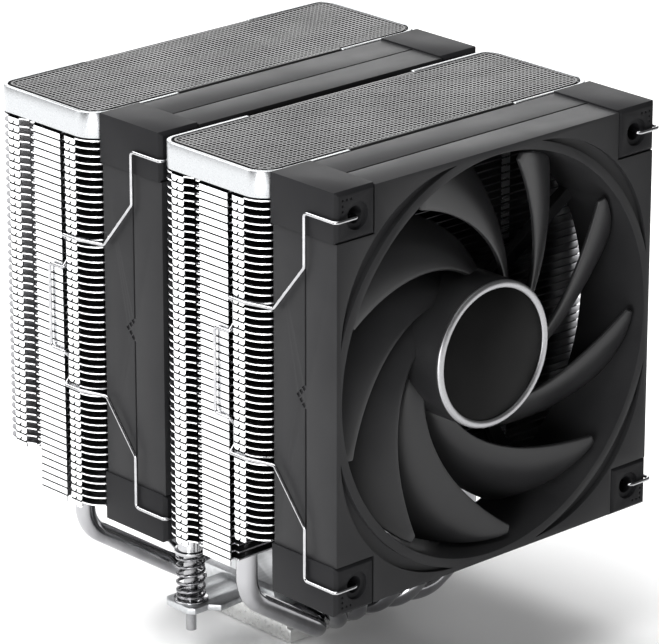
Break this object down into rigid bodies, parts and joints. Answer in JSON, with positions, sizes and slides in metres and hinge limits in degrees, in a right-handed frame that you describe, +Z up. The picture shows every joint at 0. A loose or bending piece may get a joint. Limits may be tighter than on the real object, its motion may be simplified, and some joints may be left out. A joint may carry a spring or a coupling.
{
  "type": "cpu tower cooler",
  "caption": "Twin tower processor cooler: finned towers on bent heat pipes, clipped-on axial fans, stepped cold plate and spring screws on a mounting bar.",
  "frame": {"origin": "centre of the cold plate's underside, where it rests on the processor", "axes": "+Z up through the towers, +Y from the front fan towards the rear tower, +X to the right as seen from the front fan"},
  "size_m": [0.1278, 0.1388, 0.16],
  "materials": {
    "nickel_plate": "machined, nickel plated",
    "satin_aluminium": "satin extruded aluminium",
    "bright_steel": "bright plated steel",
    "bar_steel": "bead-blasted plated steel",
    "dark_spring_steel": "blackened spring steel",
    "pipe_nickel": "bright nickel plate",
    "fin_metal": "bright rolled fin sheet",
    "cover_black": "matt black with fine dimples",
    "trim_silver": "satin silver",
    "fan_grey": "fine matt texture",
    "pad_rubber": "matt rubber",
    "blade_grey": "fine matt texture",
    "ring_silver": "satin grey silver",
    "label_black": "smooth black film",
    "magnet_iron": "dark bonded magnet",
    "bearing_brass": "sintered",
    "winding_steel": "laminated",
    "board_dark": "solder mask"
  },
  "bodies": {
    "cooler": {"cold_plate": "nickel_plate", "base_block": "satin_aluminium", "bar_cap": "satin_aluminium", "cap_screws": "bright_steel", "left_washer": "bright_steel", "right_washer": "bright_steel", "mounting_bar": "bar_steel", "left_spring": "dark_spring_steel", "right_spring": "dark_spring_steel", "heat_pipe_1": "pipe_nickel", "heat_pipe_2": "pipe_nickel", "heat_pipe_3": "pipe_nickel", "heat_pipe_4": "pipe_nickel", "heat_pipe_5": "pipe_nickel", "heat_pipe_6": "pipe_nickel", "front_fins": "fin_metal", "rear_fins": "fin_metal", "front_cover": "cover_black", "rear_cover": "cover_black", "front_left_trim": "trim_silver", "front_right_trim": "trim_silver", "rear_left_trim": "trim_silver", "rear_right_trim": "trim_silver", "front_frame": "fan_grey", "front_pads": "pad_rubber", "front_bearing": "bearing_brass", "front_stator": "winding_steel", "front_board": "board_dark", "middle_frame": "fan_grey", "middle_pads": "pad_rubber", "middle_bearing": "bearing_brass", "middle_stator": "winding_steel", "middle_board": "board_dark"},
    "front_fan_rotor": {"front_rotor": "blade_grey", "front_hub_ring": "ring_silver", "front_hub_label": "label_black", "front_magnet": "magnet_iron", "front_shaft": "bright_steel", "front_retainer": "bright_steel"},
    "middle_fan_rotor": {"middle_rotor": "blade_grey", "middle_hub_ring": "ring_silver", "middle_hub_label": "label_black", "middle_magnet": "magnet_iron", "middle_shaft": "bright_steel", "middle_retainer": "bright_steel"},
    "left_spring_screw": {"left_screw": "bright_steel", "left_screw_ring": "bright_steel"},
    "right_spring_screw": {"right_screw": "bright_steel", "right_screw_ring": "bright_steel"},
    "front_left_clip": {"front_left_wire_clip": "bright_steel"},
    "front_right_clip": {"front_right_wire_clip": "bright_steel"},
    "middle_left_clip": {"middle_left_wire_clip": "bright_steel"},
    "middle_right_clip": {"middle_right_wire_clip": "bright_steel"}
  },
  "joints": [
    {"name": "front_fan_spin", "type": "hinge", "parent": "cooler", "child": "front_fan_rotor", "pos_m": [0, -0.0695, 0.1], "axis": [0, 1, 0], "continuous": true},
    {"name": "middle_fan_spin", "type": "hinge", "parent": "cooler", "child": "middle_fan_rotor", "pos_m": [0, 0.0005, 0.1], "axis": [0, 1, 0], "continuous": true},
    {"name": "left_screw_press", "type": "slide", "parent": "cooler", "child": "left_spring_screw", "axis": [0, 0, 1], "range_m": [-0.004, 0], "stiffness_N_per_m": 2500, "springref_m": 0.003, "deforming": ["left_spring"]},
    {"name": "right_screw_press", "type": "slide", "parent": "cooler", "child": "right_spring_screw", "axis": [0, 0, 1], "range_m": [-0.004, 0], "stiffness_N_per_m": 2500, "springref_m": 0.003, "deforming": ["right_spring"]},
    {"name": "front_left_clip_swing", "type": "hinge", "parent": "cooler", "child": "front_left_clip", "pos_m": [-0.0528, -0.0815, 0.1], "axis": [0, 0, 1], "range_deg": [0, 18]},
    {"name": "front_right_clip_swing", "type": "hinge", "parent": "cooler", "child": "front_right_clip", "pos_m": [0.0528, -0.0815, 0.1], "axis": [0, 0, -1], "range_deg": [0, 18]},
    {"name": "middle_left_clip_swing", "type": "hinge", "parent": "cooler", "child": "middle_left_clip", "pos_m": [-0.0528, -0.0115, 0.1], "axis": [0, 0, 1], "range_deg": [0, 12]},
    {"name": "middle_right_clip_swing", "type": "hinge", "parent": "cooler", "child": "middle_right_clip", "pos_m": [0.0528, -0.0115, 0.1], "axis": [0, 0, -1], "range_deg": [0, 12]}
  ]
}
